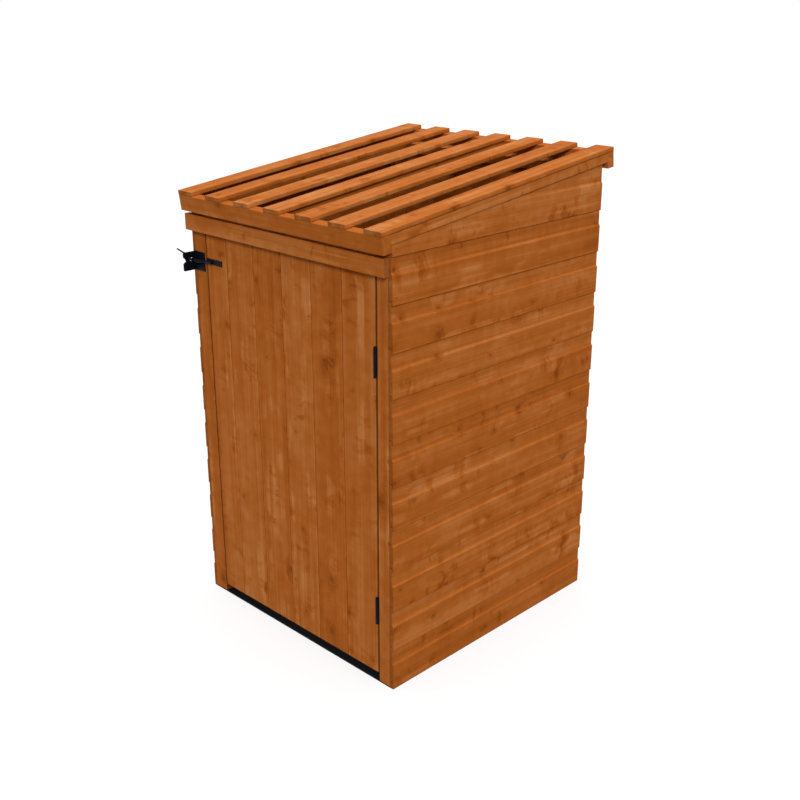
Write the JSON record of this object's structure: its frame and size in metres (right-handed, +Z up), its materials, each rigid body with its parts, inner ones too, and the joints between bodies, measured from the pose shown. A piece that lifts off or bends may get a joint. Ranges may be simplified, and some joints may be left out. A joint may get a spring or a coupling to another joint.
{
  "type": "wheelie bin store",
  "caption": "Timber bin store with shiplap walls, a ledged and braced door on butt hinges, a gravity latch and a sloping slatted lid that lifts.",
  "frame": {"origin": "on the ground, at the centre of the footprint of the four walls", "axes": "+Z up, +X to the right seen from the front, +Y to the back; the door and the low edge of the lid face -Y"},
  "size_m": [0.7785, 0.9069, 1.3112],
  "materials": {
    "stained_softwood": "orange-brown stained softwood with grain and knots, matt",
    "black_steel": "black powder coat, satin",
    "zinc_plated_steel": "bright zinc plate, slightly dulled",
    "black_sheet": "plain black, matt"
  },
  "bodies": {
    "store": {"base_sheet": "black_sheet", "right_wall_boards": "stained_softwood", "left_wall_boards": "stained_softwood", "back_wall_boards": "stained_softwood", "latch_post": "stained_softwood", "hinge_post": "stained_softwood", "left_back_post": "stained_softwood", "right_back_post": "stained_softwood", "left_bottom_rail": "stained_softwood", "right_bottom_rail": "stained_softwood", "back_bottom_rail": "stained_softwood", "left_top_rail": "stained_softwood", "right_top_rail": "stained_softwood", "back_top_rail": "stained_softwood", "header_board": "stained_softwood", "latch_bracket": "black_steel", "latch_pivot_pin": "black_steel", "door_hinge_lower_post_leaf": "black_steel", "door_hinge_upper_post_leaf": "black_steel", "door_hinge_pins": "black_steel", "lid_hinge_left_wall_leaf": "black_steel", "lid_hinge_right_wall_leaf": "black_steel", "lid_hinge_pins": "black_steel", "wall_nails": "zinc_plated_steel", "header_screws": "zinc_plated_steel", "post_leaf_screws": "black_steel", "wall_leaf_screws": "black_steel", "bracket_screws": "black_steel"},
    "door": {"door_board_1": "stained_softwood", "door_board_2": "stained_softwood", "door_board_3": "stained_softwood", "door_board_4": "stained_softwood", "door_board_5": "stained_softwood", "door_board_6": "stained_softwood", "door_bottom_ledge": "stained_softwood", "door_top_ledge": "stained_softwood", "door_brace": "stained_softwood", "door_hinge_lower_door_leaf": "black_steel", "door_hinge_upper_door_leaf": "black_steel", "striker_bar": "black_steel", "door_screws": "zinc_plated_steel", "door_leaf_screws": "black_steel", "striker_screws": "black_steel"},
    "lid": {"lid_front_rail": "stained_softwood", "lid_back_rail": "stained_softwood", "lid_left_rail": "stained_softwood", "lid_right_rail": "stained_softwood", "lid_middle_rail": "stained_softwood", "lid_slat_1": "stained_softwood", "lid_slat_2": "stained_softwood", "lid_slat_3": "stained_softwood", "lid_slat_4": "stained_softwood", "lid_slat_5": "stained_softwood", "lid_slat_6": "stained_softwood", "lid_slat_7": "stained_softwood", "lid_hinge_left_lid_leaf": "black_steel", "lid_hinge_right_lid_leaf": "black_steel", "slat_nails": "zinc_plated_steel", "lid_leaf_screws": "black_steel"},
    "catch": {"latch_catch": "black_steel"}
  },
  "joints": [
    {"name": "door_swing", "type": "hinge", "parent": "store", "child": "door", "pos_m": [0.3335, -0.4046, 0.5505], "axis": [0, 0, 1], "range_deg": [0, 110]},
    {"name": "lid_lift", "type": "hinge", "parent": "store", "child": "lid", "pos_m": [0, 0.4006, 1.24721], "axis": [-1, 0, 0], "range_deg": [0, 90]},
    {"name": "latch_lift", "type": "hinge", "parent": "store", "child": "catch", "pos_m": [-0.37275, -0.4085, 1.029], "axis": [-1, 0, 0], "range_deg": [0, 60]}
  ]
}
